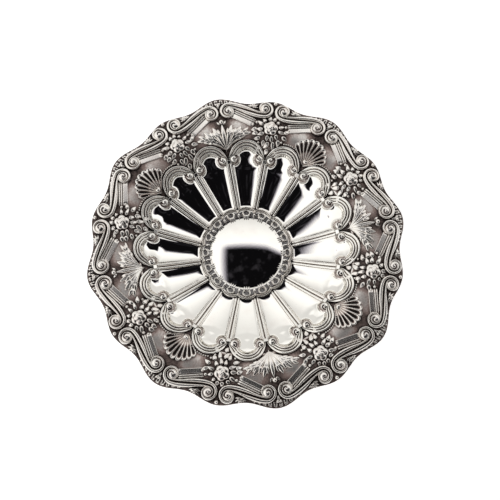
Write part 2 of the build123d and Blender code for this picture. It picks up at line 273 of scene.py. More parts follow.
# a leaf blade on a curved midrib: half width = W sin(pi t^swell)^blunt, a ridge with a groove on its midrib
# bend is how far it turns from root to tip, in radians; it is dark along its sides and a little at its root
def blade(root, angle, length, width, height, bend=0.0, swell=0.75, rows=16, cols=9, groove=0.5, lift=0.0,
          blunt=0.8):
    t = np.linspace(0.02, 0.985, rows)
    path, _ = curve(root, angle, length, bend, t)
    half = width * np.sin(math.pi * t ** swell) ** blunt
    a, b = sidesOf(path, half * 2)
    v = np.linspace(-1, 1, cols)[None, :]
    rise = (np.sin(math.pi * t ** 0.6) * 0.7 + 0.3)[:, None]
    ridge = (1 - np.abs(v) ** 2.2) - groove * np.exp(-((v / 0.22) ** 2))
    dark = np.clip(1 - ridge * 1.9, 0, 1) * 0.9 + 0.12 * (t[:, None] < 0.15)
    return ribbon(a, b, 0.15 + height * np.clip(ridge, 0, None) * rise, np.clip(dark, 0, 1), lift=lift)


# copies of parts turned about the middle by so many degrees, and their mirror images about the Y axis
def spread(parts, degrees, mirror=False):
    copies = []
    for points, quads, tris, patinaAndShade in parts:
        for flip in ((1, -1) if mirror else (1,)):
            flipped = points * [flip, 1, 1]
            for degree in degrees:
                c, s = math.cos(math.radians(degree)), math.sin(math.radians(degree))
                turned = flipped @ np.array([[c, s, 0], [-s, c, 0], [0, 0, 1]])
                faces = (quads, tris) if flip == 1 else (quads[:, ::-1], tris[:, ::-1])
                copies.append((turned, *faces, patinaAndShade))
    return copies


# one mesh object from many parts, riding on the plate and standing for CAD nodes
def place(name, parts, material, nodes=(), matte=None):
    starts = np.cumsum([0] + [len(p[0]) for p in parts])
    points = join([p[0] for p in parts]) * mm
    quads = join([p[1] + s for p, s in zip(parts, starts)]).astype(np.int32)
    tris = join([p[2] + s for p, s in zip(parts, starts)]).astype(np.int32)
    patinaAndShade = join([p[3] for p in parts]).astype(np.float32)
    mesh = bpy.data.meshes.new(name)
    mesh.vertices.add(len(points))
    mesh.vertices.foreach_set("co", points.astype(np.float32).ravel())
    mesh.loops.add(quads.size + tris.size)
    mesh.loops.foreach_set("vertex_index", join([quads.ravel(), tris.ravel()]))
    mesh.polygons.add(len(quads) + len(tris))
    loopStart = join([np.arange(len(quads)) * 4, quads.size + np.arange(len(tris)) * 3])
    mesh.polygons.foreach_set("loop_start", loopStart.astype(np.int32))
    mesh.update(calc_edges=True)
    mesh.validate()
    mesh.polygons.foreach_set("use_smooth", np.ones(len(mesh.polygons), bool))
    layer = mesh.attributes.new("patinaAndShade", "FLOAT", "POINT")
    layer.data.foreach_set("value", patinaAndShade)
    if matte is not None:
        layer = mesh.attributes.new("matte", "FLOAT", "POINT")
        layer.data.foreach_set("value", matte.astype(np.float32))
    mesh.materials.append(material)
    piece = bpy.data.objects.new(name, mesh)
    scene.collection.objects.link(piece)
    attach(piece, "root")
    if nodes:
        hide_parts(*nodes)
    print(name, len(mesh.polygons), "faces")


# one object at each turn, numbered from 1, standing for the CAD node of that number
def placeEach(name, parts, degrees, material, node, digits=1):
    for number, degree in enumerate(degrees, 1):
        mark = f"{number:0{digits}d}"
        place(f"{name}_{mark}", spread(parts, [degree]), material, [f"{node}_{mark}"])


# a shader value; written sums and products add the Math nodes
class Flow:
    def __init__(self, bench, socket):
        self.bench, self.socket = bench, socket

    def math(self, operation, *others, clamp=False):
        return self.bench.node("ShaderNodeMath", dict(operation=operation, use_clamp=clamp),
                               dict(enumerate([self, *others])))

    # a number first and then the value, as in 1 - value
    def under(self, operation, number):
        return self.bench.node("ShaderNodeMath", dict(operation=operation), {0: number, 1: self})

    def __add__(self, other):
        return self.math("ADD", other)

    __radd__ = __add__

    def __sub__(self, other):
        return self.math("SUBTRACT", other)

    def __rsub__(self, other):
        return self.under("SUBTRACT", other)

    def __mul__(self, other):
        return self.math("MULTIPLY", other)

    __rmul__ = __mul__

    def __truediv__(self, other):
        return self.math("DIVIDE", other)

    def __rtruediv__(self, other):
        return self.under("DIVIDE", other)

    def clamp(self):
        return self.math("ADD", 0.0, clamp=True)

    # 0 at low, 1 at high, smooth between
    def step(self, low, high):
        return self.bench.node("ShaderNodeMapRange", dict(interpolation_type="SMOOTHSTEP"),
                               {0: self, 1: low, 2: high, 3: 0.0, 4: 1.0})


# the node tree of a material or world, which starts empty
class Bench:
    def __init__(self, owner):
        owner.use_nodes = True
        self.tree = owner.node_tree
        self.tree.nodes.clear()

    # a node of a kind: its settings first, then the values or links of its sockets; gives one of its outputs
    def node(self, kind, settings=None, inputs=None, output=0):
        made = self.tree.nodes.new(kind)
        for key, setting in (settings or {}).items():
            setattr(made, key, setting)
        for key, given in (inputs or {}).items():
            if isinstance(given, Flow):
                self.tree.links.new(given.socket, made.inputs[key])
            else:
                made.inputs[key].default_value = given
        return Flow(self, made.outputs[output]) if len(made.outputs) else made

    # soft noise over a place
    def noise(self, where, scale, detail):
        return self.node("ShaderNodeTexNoise", None, {"Vector": where, "Scale": scale, "Detail": detail})

    # a blend of two colours; a Mix node's colours are its seventh and eighth sockets, and its third output
    def mix(self, factor, a, b):
        return self.node("ShaderNodeMix", dict(data_type="RGBA"), {0: factor, 6: a, 7: b}, output=2)


silver = dict(bright=(0.98, 0.96, 0.905, 1), warm=(0.68, 0.52, 0.47, 1), oxide=(0.012, 0.007, 0.006, 1),
              tarnish=0.6, occlusionReach=0.0028, cloudScale=620.0, patchScale=75.0,
              matteSpots=0.55, darkWarmth=1.7, patchWarmth=0.5, matteWarmth=0.25, matteRough=0.3,
              oxideMetal=0.5, cloudRise=0.3, patchRise=0.2, bumpStrength=0.1, bumpReach=0.0004)


# silver, bright on its high places, that goes to dark oxide with the patinaAndShade of its mesh, and dark in
# its crevices, where ambient occlusion paints shade that stands also for oxide dark = (patinaAndShade -
# start) depth / (1 - start) + creviceShade (1 - sky - spare) + spots; sky is how open a place is, and its
# lack is painted as shade
def chasedSilver(name, start, polish, mottle, creviceShade, depth=1.0, spare=0.12, blush=0.0):
    made = bpy.data.materials.new(name)
    bench = Bench(made)
    where = bench.node("ShaderNodeTexCoord", output=3)
    patinaAndShade = bench.node("ShaderNodeAttribute", dict(attribute_name="patinaAndShade"), output=2)
    matte = bench.node("ShaderNodeAttribute", dict(attribute_name="matte"), output=2)
    cloud = bench.noise(where, silver["cloudScale"], 3.0)
    patch = bench.noise(where, silver["patchScale"], 2.0)
    # ambient occlusion: the darker base colour it gives in crevices and between parts is painted shade, and
    # stands also for oxide there
    sky = bench.node("ShaderNodeAmbientOcclusion", dict(samples=8),
                     {"Distance": silver["occlusionReach"]}, output=1)
    occlusionShade = ((1 - sky) - spare).clamp()
    spots = ((cloud - 0.5) + (patch - 0.5)) * (matte * silver["matteSpots"] + mottle)
    dark = ((patinaAndShade - start) * (depth / (1 - start)) + occlusionShade * creviceShade + spots).clamp()
    warmth = (dark * silver["darkWarmth"] + (patch - 0.5) * silver["patchWarmth"]
              + matte * silver["matteWarmth"] + blush).clamp()
    tint = bench.mix(warmth, silver["bright"], silver["warm"])
    colour = bench.mix(dark, tint, silver["oxide"])
    rough = (dark * (silver["tarnish"] - polish) + polish + matte * silver["matteRough"]).clamp()
    metal = 1 - dark * silver["oxideMetal"]
    rise = cloud * silver["cloudRise"] + patch * silver["patchRise"]
    normal = bench.node("ShaderNodeBump", None, {"Strength": silver["bumpStrength"],
                                                 "Distance": silver["bumpReach"], "Height": rise})
    shader = bench.node("ShaderNodeBsdfPrincipled", None,
                        {"Base Color": colour, "Roughness": rough, "Metallic": metal, "Normal": normal})
    bench.node("ShaderNodeOutputMaterial", None, {"Surface": shader})
    return made


# the creviceShade of each silver paints shade into its crevices; on the polished dish it paints the shadow
# round the ornaments standing on it
chased = chasedSilver("chased silver", start=0.4, polish=0.27, mottle=0.06, creviceShade=1.4, spare=0.36,
                      blush=0.15)
polished = chasedSilver("polished silver", start=0.15, polish=0.03, mottle=0.04, creviceShade=0.7)
plain = chasedSilver("plain silver", start=0.2, polish=0.12, mottle=0.12, creviceShade=0.8, depth=0.8)
rubbed = chasedSilver("rubbed silver", start=0.42, polish=0.22, mottle=0.05, creviceShade=1.4, spare=0.32,
                      blush=0.03)
laced = chasedSilver("laced silver", start=0.5, polish=0.2, mottle=0.04, creviceShade=1.3, spare=0.42, blush=0.05)
print("materials ready")

flute = dict(startDepth=0.9, endDepth=2.0, startWall=0.5, endWall=1.6, wallWidth=2.3, wallShare=0.6, land=0.4,
             lipRound=0.35, corner=1.0, bowlRound=2.5, voluteGap=0.9, ringWidth=0.45, bowlShare=1.15,
             narrowest=3.0)


# how deep a flute is at (x, y) beside its own axis, +Y outwards, d being the way in from its side
# a shallow trough 1 - (1 - d/w)^2 over its whole width w, and a steep wall of the same shape beside its edge
# also gives d before it is rounded, and how near the line round each volute lies, where a shadow is painted
# dark
def fluteDepth(x, y):
    x = np.abs(x)
    share = np.clip((y - dish["floorRadius"]) / (arch["centre"] - dish["floorRadius"]), 0, 1)
    taken = blend(rib["halfFoot"], rib["halfHead"], share) + flute["land"]
    side = (y * math.tan(halfFlute) - x) * math.cos(halfFlute) - taken
    width = (y * math.tan(halfFlute)) * math.cos(halfFlute) - taken
    below = softMin(side, arch["eyeY"] - flute["corner"] - y, flute["corner"])
    bowl = arch["inner"] - np.hypot(x, y - arch["centre"])
    volute = np.hypot(x - arch["eyeX"], y - arch["eyeY"]) - arch["volute"] - flute["voluteGap"]
    inside = softMin(softMax(below, bowl, flute["bowlRound"]), volute, flute["corner"])
    inside = softMin(inside, y - dish["floorRadius"] + flute["corner"], flute["corner"])
    reach = np.clip(np.minimum(width, arch["inner"] * flute["bowlShare"]), flute["narrowest"], None)
    d = softMax(inside, 0, flute["lipRound"])
    trough = blend(flute["startDepth"], flute["endDepth"], share)
    wall = blend(flute["startWall"], flute["endWall"], share)
    wallWidth = np.minimum(flute["wallWidth"], reach * flute["wallShare"])
    ring = np.exp(-(((volute + flute["ringWidth"]) / flute["ringWidth"]) ** 2))
    return trough * scoop(d / reach) + wall * scoop(d / wallWidth), inside, ring


border = dict(dark=0.84, brighter=0.66, strapAngle=math.radians(8.5), halfAngle=0.085, strapRadius=118.5,
              halfWidth=10.0)


# the border's ground: dark in the leaf sprays, brighter in a patch beside each strap
# patch = exp(-(angle off / half angle)^4 - (radius off / half width)^4)
def borderGrime(r, a):
    off = np.abs(nearest(a, dish["lobes"])) - border["strapAngle"]
    out = (r - border["strapRadius"]) / border["halfWidth"]
    patch = np.exp(-((off / border["halfAngle"]) ** 4) - out ** 4)
    return border["dark"] - border["brighter"] * patch


# ringShadow is how dark the shadow painted round each volute knob is
sheet = dict(perFlute=44, floorRings=(30.0, 40.0, 44.0, 46.2), wallStart=46.9, wallEnd=101.5, wallRings=76,
             borderRings=26, edgeFall=0.35, ground=(101.0, 103.5), valley=(88.5, 90.0), ridge=(-1.4, -2.2),
             lipGrime=0.2, lipWidth=0.8, ringShadow=0.9, underGrime=0.1)


# the fluted sheet in rings, z = dish height - flute depth, and fewer rings one thickness lower underneath
# its ground is matte on the border and in the valleys between two arches
def makeDish():
    cols = dish["flutes"] * sheet["perFlute"]
    a = np.arange(cols) / cols * 2 * math.pi
    wallRings = np.linspace(sheet["wallStart"], sheet["wallEnd"], sheet["wallRings"])
    rings = join([sheet["floorRings"], wallRings])
    outwards = np.linspace(0, 1, sheet["borderRings"] + 1)[1:, None]
    r = join([np.repeat(rings[:, None], cols, 1),
              sheet["wallEnd"] + outwards * (edgeRadius(a)[None, :] - sheet["wallEnd"])])
    local = nearest(a, dish["flutes"], math.pi)[None, :]
    depth, inside, ring = fluteDepth(r * np.sin(local), r * np.cos(local))
    depth[r > sheet["wallEnd"]] = 0
    z = dishHeight(r) - depth
    z[-1] -= sheet["edgeFall"]
    under = join([np.arange(len(r) - 1, len(rings), -3), np.arange(len(rings), 3, -4), [3, 1, 0]])
    x = join([r, r[under]]) * np.cos(a)
    y = join([r, r[under]]) * np.sin(a)
    between = ease(*sheet["valley"], r) * ease(*sheet["ridge"], inside)
    ground = ease(*sheet["ground"], r) + between * (r < sheet["ground"][0])
    # a shadow is painted in a thin dark line round the foot of each volute knob, and the flutes' lips are a
    # little darker
    lipAndRingShadow = np.maximum(sheet["lipGrime"] * np.exp(-((inside / sheet["lipWidth"]) ** 2)),
                     sheet["ringShadow"] * ring)
    patinaAndShade = np.maximum(ground * borderGrime(r, a[None, :]), lipAndRingShadow * (r < sheet["wallEnd"]))
    patinaAndShade = join([patinaAndShade, np.full((len(under), cols), sheet["underGrime"])])
    # the underside and the two poles aren't matte
    matte = join([ground.ravel(), np.zeros(len(under) * cols + 2)])
    part = closedTube(x, y, join([z, z[under] - dish["sheet"]]), patinaAndShade)
    place("dish", [part], polished, ["dish_body"], matte)


makeDish()

boss = dict(radius=35.2, rise=5.6, pole=0.6, topRings=40, underRings=8, cols=160, sink=0.3)


# a shallow ball cap: z = floor + rise - (bend - sqrt(bend^2 - r^2))
def makeBoss():
    bend = (boss["radius"] ** 2 + boss["rise"] ** 2) / (2 * boss["rise"])
    r = join([np.linspace(boss["pole"], boss["radius"], boss["topRings"]),
              np.linspace(boss["radius"], boss["pole"], boss["underRings"])])[:, None]
    a = circle(boss["cols"])[None, :]
    z = dish["floorHeight"] + boss["rise"] - (bend - np.sqrt(bend ** 2 - r ** 2)) + 0 * a
    z[boss["topRings"]:] = dish["floorHeight"] - boss["sink"]
    part = closedTube(r * np.cos(a), r * np.sin(a), z, 0 * z)
    place("boss", [part], polished, ["centre_boss"])


makeBoss()

# a scroll's rolls are (its two edges where coil b's outer side is, its two edges where coil a's is, height)
scroll = dict(band=8.2, eyeBand=2.6, coilStart=6.9, coilEye=3.0, coilTurn=400, startAngle=72, pull=0.36,
              lobeStrip=8.6, edgeStrip=0.9, mirrorGap=0.5, height=2.6, eye=5.0, eyeHeight=4.2, eyeTwist=5.2,
              eyeCut=0.22, rolls=((0.0, 0.56, 0.0, 0.28, 1.0), (0.72, 1.0, 0.44, 1.0, 1.0)), square=2.6,
              change=0.25, step=0.3, taper=0.05, swellFrom=0.55, swell=0.2)


# half a scroll, from half way between its coils a and b to the eye of coil a
# a smooth bend of the cubic kind leads to the coil, whose radius shrinks evenly with its angle
def scrollHalf(a, b, bendRows=40, coilRows=150):
    start, turn = math.radians(scroll["startAngle"]), math.radians(scroll["coilTurn"])
    shrink = (scroll["coilStart"] - scroll["coilEye"]) / turn
    entry = a + scroll["coilStart"] * np.array([math.cos(start), math.sin(start)])
    far = a + b - entry
    heading = start + math.pi / 2 + math.atan(shrink / scroll["coilStart"])
    pull = np.array([math.cos(heading), math.sin(heading)]) * scroll["pull"] * np.linalg.norm(entry - far)
    t = np.linspace(0.5, 1, bendRows, endpoint=False)[:, None]
    bend = (far * (1 - t) ** 3 + (far + pull) * 3 * t * (1 - t) ** 2 + (entry - pull) * 3 * t * t * (1 - t)
            + entry * t ** 3)
    angle = np.linspace(start, start + turn, coilRows)
    radius = scroll["coilStart"] - shrink * (angle - start)
    coil = a + np.stack([np.cos(angle), np.sin(angle)], -1) * radius[:, None]
    path = join([bend, coil])
    along = join([[0], np.cumsum(np.linalg.norm(np.diff(path, axis=0), axis=1))])
    return path, along / along[-1], bendRows


# a scroll's width, which narrows evenly from its middle to its eyes
def bandWidth(share):
    return blend(scroll["band"], scroll["eyeBand"], share)


# how far the coil's outer side reaches from its centre in a direction
def coilExtent(half, centre, direction):
    path, share, first = half
    return ((path[first:] - centre) @ np.array(direction) + bandWidth(share[first:]) / 2).max()


# both coils' centres: each clears its mirrored twin and keeps its distance from the edge
def scrollLayout(rounds=12):
    a = np.array([scroll["band"], dish["rimRadius"] - scroll["band"]])
    b = np.array([dish["rimRadius"] / 3, dish["rimRadius"] - 2 * scroll["band"]])
    for _ in range(rounds):
        side = coilExtent(scrollHalf(a, b), a, (-1, 0)) + scroll["mirrorGap"]
        inner = edgeRadius(0) - scroll["lobeStrip"] - scroll["coilStart"]
        a = np.array([side, math.sqrt(inner ** 2 - side ** 2)])
        half = scrollHalf(a, b)
        side = coilExtent(half, a, (-math.cos(halfLobe), math.sin(halfLobe))) + scroll["mirrorGap"]
        out = coilExtent(half, a, (-math.sin(halfLobe), -math.cos(halfLobe)))
        turn = halfLobe - math.asin(side / np.linalg.norm(b))
        outer = edgeRadius(turn) - scroll["edgeStrip"] - out
        b = outer * np.array([math.sin(turn), math.cos(turn)])
    return a, b, scrollHalf(a, b)


coilA, coilB, scrollHalfWay = scrollLayout()


# the whole scroll in evenly spaced points, with how far each is along it, from -1 to 1
def scrollPath(rows):
    path, share, _ = scrollHalfWay
    whole = join([coilA + coilB - path[:0:-1], path])
    along = join([-share[:0:-1], share])
    wanted = np.linspace(-1, 1, rows)
    return np.stack([np.interp(wanted, along, whole[:, k]) for k in (0, 1)], -1), wanted


# across a scroll: rolls (1 - |u|^square)^(1/2) with dark hollows between
# the broad roll lies on the outer side of both coils, so the rolls move over as side goes from 0 to 1
def scrollProfile(v, side):
    total = np.zeros_like(v + side)
    for lowA, highA, lowB, highB, top in scroll["rolls"]:
        low, high = blend(lowA, lowB, side), blend(highA, highB, side)
        u = (v - (low + high) / 2) / ((high - low) / 2)
        total = np.maximum(total, top * np.sqrt(np.clip(1 - np.abs(u) ** scroll["square"], 0, 1)))
    return total


# each scroll is a moulded band with a spiral mound on each eye; every second one is its mirror image
# height = step + height profile, tapering at the eyes and swelling a little on the coils
def makeScrolls():
    path, along = scrollPath(200)
    a, b = sidesOf(path, bandWidth(np.abs(along)))
    v = np.linspace(0, 1, 34)[None, :]
    profile = scrollProfile(v, ease(-scroll["change"], scroll["change"], along)[:, None])
    taper = ease(0, scroll["taper"], 1 - np.abs(along))[:, None]
    swell = 1 + scroll["swell"] * ease(scroll["swellFrom"], 1, np.abs(along))[:, None]
    height = scroll["step"] + scroll["height"] * profile * taper * swell
    parts = [ribbon(a, b, height, inHollows(profile, 1.25))]
    for eye, other in ((coilA, coilB), (coilB, coilA)):
        phase = math.atan2(eye[1] - other[1], eye[0] - other[0])
        parts.append(mound(*eye, scroll["eye"], scroll["eyeHeight"], rows=18, cols=40, sink=0.4, dark=0.6,
                           petals=1, twist=scroll["eyeTwist"], phase=phase, curl=scroll["eyeCut"]))
    twin = [(p * [-1, 1, 1], q[:, ::-1], t[:, ::-1], g) for p, q, t, g in parts]
    for lobe, degree in enumerate(largeLobeTurns):
        for hand, number in ((parts, 2 * lobe + 1), (twin, 2 * lobe + 2)):
            place(f"scroll_{number:02d}", spread(hand, [degree]), chased, [f"rim_scroll_{number:02d}"])


makeScrolls()


# the right half of an arch, from its crown to the eye of its volute: a quarter circle and then a coil
# its band narrows on the way into the coil
def archEdges(rows):
    turn = math.radians(arch["coilTurn"])
    arcLength, coilRadius = arch["outer"] * math.pi / 2, arch["inset"]
    total = arcLength + coilRadius * turn
    along = np.linspace(0, 1, rows) * total
    onArc = along < arcLength
    a = np.where(onArc, math.pi / 2 - along / arch["outer"], -(along - arcLength) / coilRadius)
    shrink = np.where(onArc, 1, 1 - arch["coilShrink"] * (along - arcLength) / (coilRadius * turn))
    x = np.where(onArc, arch["outer"] * np.cos(a), arch["eyeX"] + coilRadius * shrink * np.cos(a))
    y = arch["centre"] + np.where(onArc, arch["outer"], coilRadius * shrink) * np.sin(a)
    narrow = ease(arcLength * 0.72, arcLength * 1.02, along)
    width = blend(arch["coilWidth"], arch["band"], 1 - narrow)
    inward = np.stack([-np.cos(a), -np.sin(a)], -1)
    outerEdge = np.stack([x, y], -1)
    return outerEdge, outerEdge + inward * width[:, None], along / total


# three reeds carried round the arch, highest in the middle of the band, and a spiral knob on each volute
def makeArches():
    outerEdge, innerEdge, along = archEdges(90)
    a, b = (join([edge[:0:-1] * [-1, 1], edge]) for edge in (outerEdge, innerEdge))
    s = join([-along[:0:-1], along])[:, None]
    v = np.linspace(0, 1, 25)[None, :]
    profile = reeds(v, ((0.0, 0.36, 1.0), (0.44, 0.68, 0.8), (0.76, 1.0, 0.7)))
    taper = ease(0, arch["taper"], 1 - np.abs(s))
    height = arch["step"] + arch["height"] * profile * taper * (0.85 + 0.15 * np.sin(math.pi * v))
    parts = [ribbon(a, b, height, inHollows(profile, 1.2) * np.ones_like(s))]
    knob = mound(arch["eyeX"], arch["eyeY"], arch["volute"] - arch["knobGap"], arch["knobHeight"], rows=14,
                 cols=32, dark=0.7, petals=1, twist=arch["knobTwist"], curl=arch["knobCut"],
                 phase=arch["knobStart"])
    parts += spread([knob], [0], mirror=True)
    placeEach("arch", parts, fluteTurns, rubbed, "flute_arch", 2)


makeArches()


# a straight moulding of two reeds with a shallow floor between, which widens and rises outwards
# a small square block closes its head between the volutes
def makeRibs():
    s = np.linspace(0, 1, 24)
    y, half = blend(rib["foot"], rib["head"], s), blend(rib["halfFoot"], rib["halfHead"], s)
    a, b = np.stack([-half, y], -1), np.stack([half, y], -1)
    v = np.linspace(0, 1, 25)[None, :]
    profile = np.maximum(reeds(v, ((0.0, 0.44, 1.0), (0.56, 1.0, 1.0))), reeds(v, ((0.0, 1.0, 0.1),)))
    rise = blend(rib["lowFoot"], 1, ease(0, 0.2, s)[:, None])
    height = rib["step"] + rib["height"] * profile * rise
    reeded = ribbon(a, b, height, inHollows(profile, 1.1) * np.ones_like(rise))
    blockY = rib["head"] + np.array(rib["blockRows"])
    a, b = (np.stack([np.full_like(blockY, side * rib["blockHalf"]), blockY], -1) for side in (-1, 1))
    block = ribbon(a, b, np.full((len(blockY), 7), rib["blockHeight"]), np.full((len(blockY), 7), 0.1))
    place("ribs", spread([reeded, block], ribTurns), rubbed, ["flute_ribs"])


makeRibs()

collar = dict(lobeCentre=34.5, lobeRadius=12.0, perLobe=24, rimWidth=2.6, rimHeight=1.9, rimStep=0.5,
              overlap=0.3, plate=0.9, plateFall=0.3, inner=34.6, sink=0.3)
lace = dict(centre=40.0, halfWidth=3.4, halfLength=2.6, start=-40, end=220, band=1.5, lift=0.9, height=1.5)


# a scalloped rim of two reeds, R = c cos a + sqrt(q^2 - (c sin a)^2) for lobes of radius q standing c out,
# and a plate inside it; each lobe has a small C scroll with a bead at each end, and leaf tips on the boss
def makeCollar():
    base = dish["floorHeight"] - collar["sink"]
    a = circle(dish["flutes"] * collar["perLobe"])
    local = nearest(a, dish["flutes"], math.pi)
    scallop = collar["lobeCentre"] * np.cos(local) + np.sqrt(
        collar["lobeRadius"] ** 2 - (collar["lobeCentre"] * np.sin(local)) ** 2)
    way = np.stack([np.cos(a), np.sin(a)], -1)
    v = np.linspace(0, 1, 17)[None, :]
    profile = reeds(v, ((0.0, 0.5, 1.0), (0.62, 1.0, 0.75))) * np.ones((len(a), 1))
    inside = scallop - collar["rimWidth"]
    height = collar["rimStep"] + collar["rimHeight"] * profile
    patinaAndShade = inHollows(profile, 1.0, 1.8)
    parts = [loopBand(way * scallop[:, None], way * inside[:, None], height, patinaAndShade, base)]
    plate = collar["plate"] - np.linspace(0, collar["plateFall"], 6)[None, :] * np.ones((len(a), 1))
    parts.append(loopBand(way * (inside + collar["overlap"])[:, None], way * collar["inner"], plate,
                          np.full_like(plate, 0.1), base))
    t = np.linspace(math.radians(lace["start"]), math.radians(lace["end"]), 40)
    c = np.stack([lace["halfWidth"] * np.cos(t), lace["centre"] + lace["halfLength"] * np.sin(t)], -1)
    ridge = np.sqrt(1 - np.linspace(-0.98, 0.98, 7) ** 2)[None, :] * np.ones((len(t), 1))
    a, b = sidesOf(c, np.full(len(t), lace["band"]))
    small = [ribbon(a, b, lace["lift"] + lace["height"] * ridge, 0.9 - ridge)]
    small += [mound(side * 2.4, 37.9, 1.15, 2.6, rows=5, cols=10) for side in (-1, 1)]
    small += [blade((side * 1.2, 38.4), math.radians(side * 12 - 90), 5.2, 0.95, 1.5, rows=7, cols=5,
                    lift=lace["lift"]) for side in (-1, 0, 1)]
    cusp = [mound(0, 42.0, 1.3, 2.9, rows=5, cols=12),
            blade((0, 40.4), -math.pi / 2, 5.6, 1.2, 1.6, rows=7, cols=5, lift=lace["lift"])]
    parts += spread(small, fluteTurns) + spread(cusp, ribTurns)
    place("collar", parts, laced, ["boss_collar"])


makeCollar()

strap = dict(width=9.0, length=24.0, height=1.2, step=0.15, gap=0.2, ahead=0.6, fade=0.12, endHeight=0.25,
             flatHeight=0.75)


# straps: two reeds and a flat beside them along the inner side of each scroll's middle, lower at both ends
def makeStraps():
    path, _ = scrollPath(231)
    middle = len(path) // 2
    way = path[middle + 3] - path[middle - 3]
    way = way / np.linalg.norm(way) * np.sign(way[0])
    sideways = np.array([way[1], -way[0]])
    share = np.linspace(0, 1, 24)[:, None]
    along = (share - 0.5) * strap["length"] + strap["ahead"]
    near = path[middle] + sideways * (scroll["band"] / 2 + strap["gap"]) + way * along
    v = np.linspace(0, 1, 29)[None, :]
    flat = strap["flatHeight"] * ease(0.46, 0.49, v) * (1 - ease(0.97, 1.0, v))
    fade = ease(0, strap["fade"], share) * ease(0, strap["fade"], 1 - share)
    profile = np.maximum(reeds(v, ((0.0, 0.17, 1.0), (0.23, 0.40, 1.0))), flat)
    profile = profile * blend(strap["endHeight"], 1, fade)
    parts = [ribbon(near, near + sideways * strap["width"], strap["step"] + strap["height"] * profile,
                    inHollows(profile, 1.0, 1.6))]
    place("straps", spread(parts, largeLobeTurns, mirror=True), chased, ["rim_straps"])


makeStraps()

shell = dict(root=98.2, reach=27.6, lean=56.0, rays=9, perRay=10, rings=30, height=2.3, drop=0.22, step=0.2,
             sink=0.5, scallop=0.10, hollowAt=0.70, hollowHalf=0.22, hollowDepth=0.65, rimAt=0.955,
             rimHalf=0.05, rimRise=0.25, ridgeRise=0.30, grooveFrom=0.45, grooveDepth=0.3, beadPath=19.2,
             beadGap=6.5, bead=0.95)


# a fan in polar form: ridges run out between the rays, each ray ends in a dark oval hollow inside a round rim
# beads follow the two arches beside it
def makeShells():
    rays = shell["rays"]
    f = np.linspace(0, rays, rays * shell["perRay"] + 1)[None, :]
    off = 2 * f / rays - 1
    scallop = np.abs(np.sin(math.pi * f))
    reach = shell["reach"] * (1 - shell["drop"] * np.abs(off) ** 1.6)
    reach = reach * blend(1 - shell["scallop"], 1, scallop ** 0.6)
    rho = np.linspace(0.02, 1, shell["rings"])[:, None]
    lean = np.radians(shell["lean"]) * off
    x, y = rho * reach * np.sin(lean), shell["root"] + rho * reach * np.cos(lean)
    hollow = np.exp(-(((rho - shell["hollowAt"]) / shell["hollowHalf"]) ** 4))
    hollow = hollow * np.clip(scallop * 1.5 - 0.45, 0, 1)
    rim = np.exp(-(((rho - shell["rimAt"]) / shell["rimHalf"]) ** 2))
    groove = np.clip(scallop - shell["grooveFrom"], 0, 1) * ease(0.08, 0.3, rho) * (1 - rim) * (1 - hollow)
    h = 0.55 + 0.25 * rho + shell["ridgeRise"] * (1 - scallop ** 0.8) * (1 - rim)
    h = h - shell["hollowDepth"] * hollow + shell["rimRise"] * rim - shell["grooveDepth"] * groove
    base = dishHeight(np.hypot(x, y))
    z = base + shell["step"] + shell["height"] * np.clip(h, 0.05, None)
    shade = np.clip(0.05 + 1.2 * hollow + 1.1 * groove - 0.25 * rim, 0, 1)
    # the skirt and the outer end go down into the dish, and the underside closes it
    foot, dark = base - shell["sink"], np.ones((shell["rings"], 1))
    x, y, z = walled(x), walled(y), walled(z, (foot[:, :1], foot[:, -1:]))
    shade = walled(shade, (dark, dark))
    z = join([z, walled(foot[-1:])])
    shade = join([shade, np.ones_like(shade[-1:])])
    x, y = (join([grid, grid[-1:]]) for grid in (x, y))
    knob = mound(0, shell["root"] + 4.6, 2.9, 3.2, rows=8, cols=24, pit=(math.pi / 2, 0.45, 1.1))
    parts = [closedTube(x, y, z, shade), knob]
    for side in (-1, 1):
        for turn in np.radians(np.arange(60, 122, shell["beadGap"])):
            x0 = side * (arch["centre"] * math.sin(halfFlute) - shell["beadPath"] * math.cos(turn))
            y0 = arch["centre"] * math.cos(halfFlute) + shell["beadPath"] * math.sin(turn)
            parts.append(mound(x0, y0, shell["bead"], 1.5, rows=4, cols=8))
    placeEach("fan_shell", parts, largeLobeTurns[1::2], chased, "shell")


makeShells()

# the fronds of a leaf, its right half: (root x, root y, angle, length, half width, bend, pairs of lobes)
leaf = dict(root=98.0, middle=27.0, bead=127.2, curls=124.6, firstLobe=27, lobeGap=11, lobeTurn=0.60,
            turnLoss=0.08, lobeLength=0.33, lobeWidth=0.7, fronds=((0.5, 100.0, 71, 24.5, 2.9, -0.10, 1),
            (1.0, 100.4, 50, 26.0, 3.1, -0.10, 1), (1.8, 101.8, 42, 25.5, 2.9, -0.60, 2),
            (3.0, 103.6, 38, 17.0, 2.1, -0.70, 1)))


